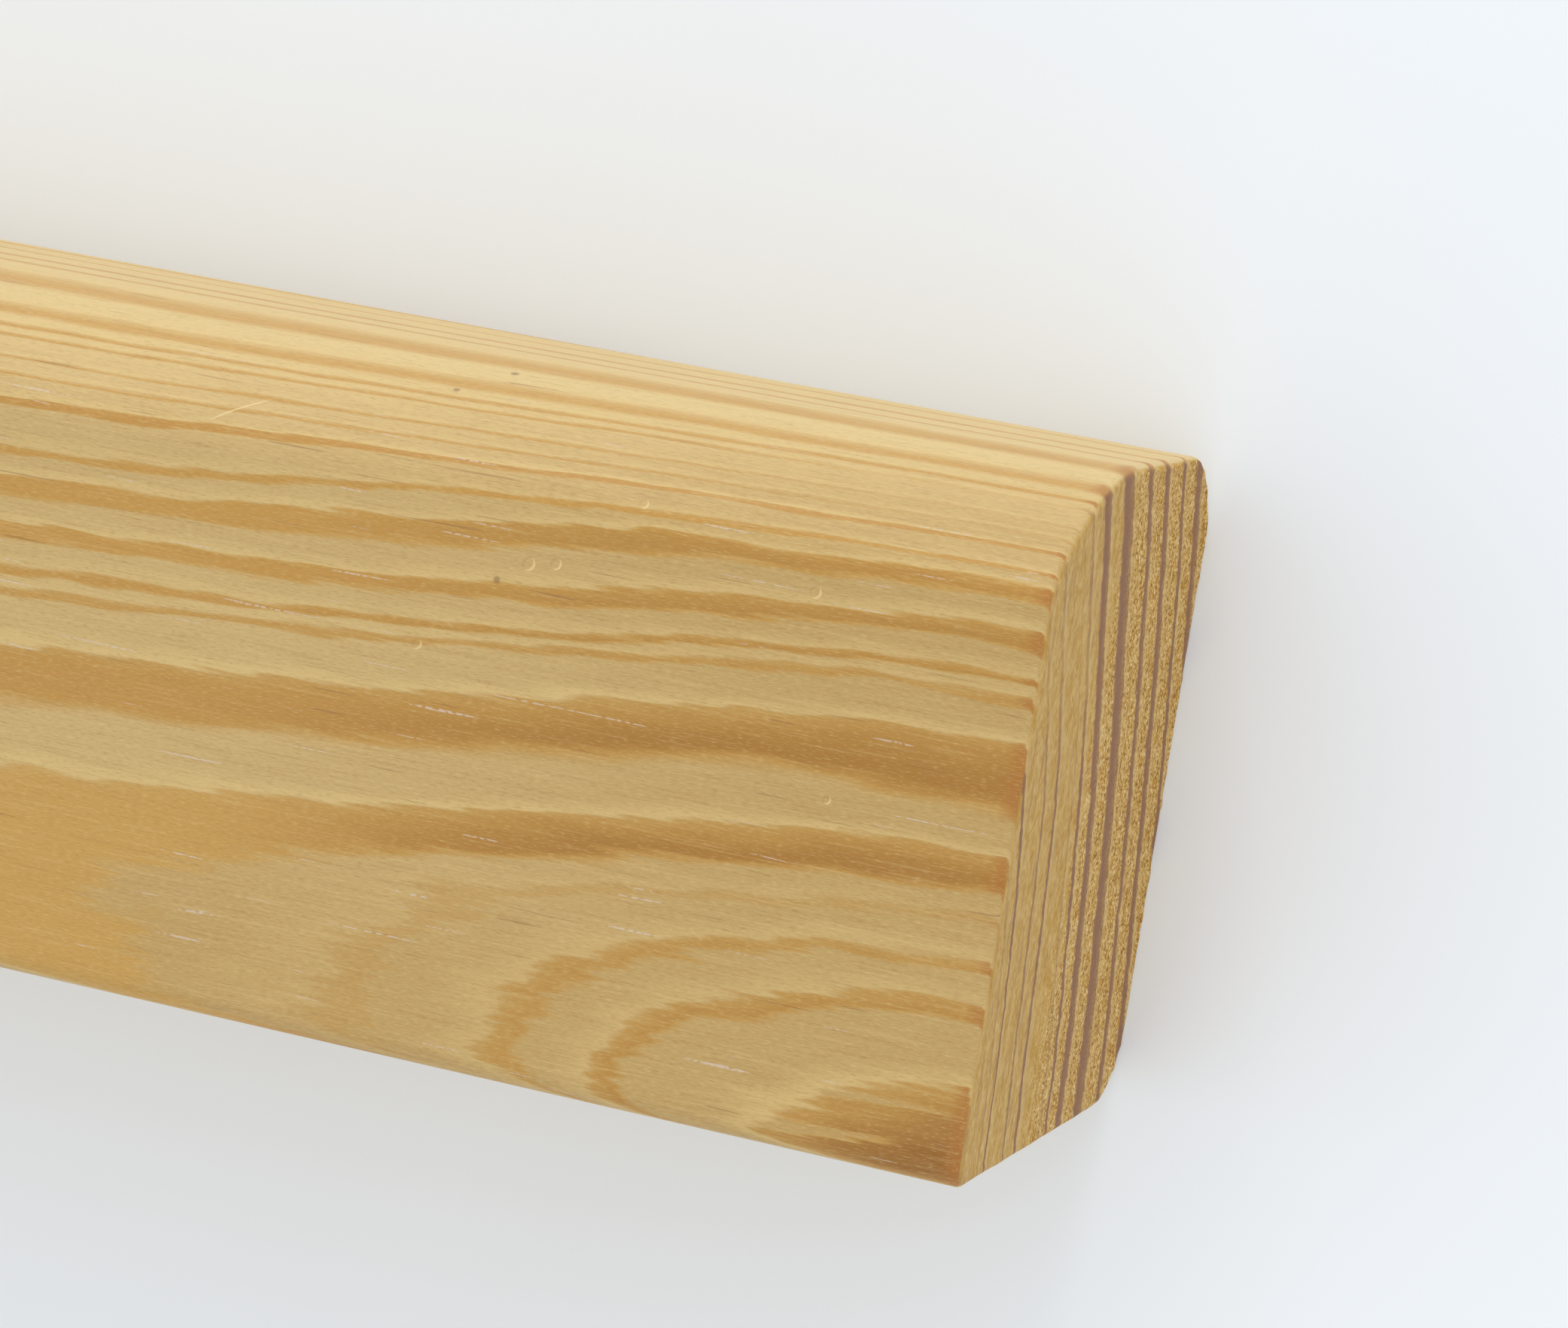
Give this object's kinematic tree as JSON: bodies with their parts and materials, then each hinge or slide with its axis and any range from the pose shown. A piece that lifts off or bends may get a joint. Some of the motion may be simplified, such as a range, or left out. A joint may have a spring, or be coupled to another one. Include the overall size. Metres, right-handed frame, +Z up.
{
  "type": "timber plank",
  "caption": "Straight planed pine plank with one broadly rounded long edge, softened other edges and square crosscut ends, used as general building and joinery stock.",
  "frame": {"origin": "centre of the back face, which the plank lies on", "axes": "+X along the grain, +Y across the width towards the rounded side, +Z up from the back face to the front face"},
  "size_m": [0.9, 0.042, 0.035],
  "materials": {
    "pine": "bare planed pine"
  },
  "bodies": {
    "root": {"plank": "pine"}
  },
  "joints": []
}
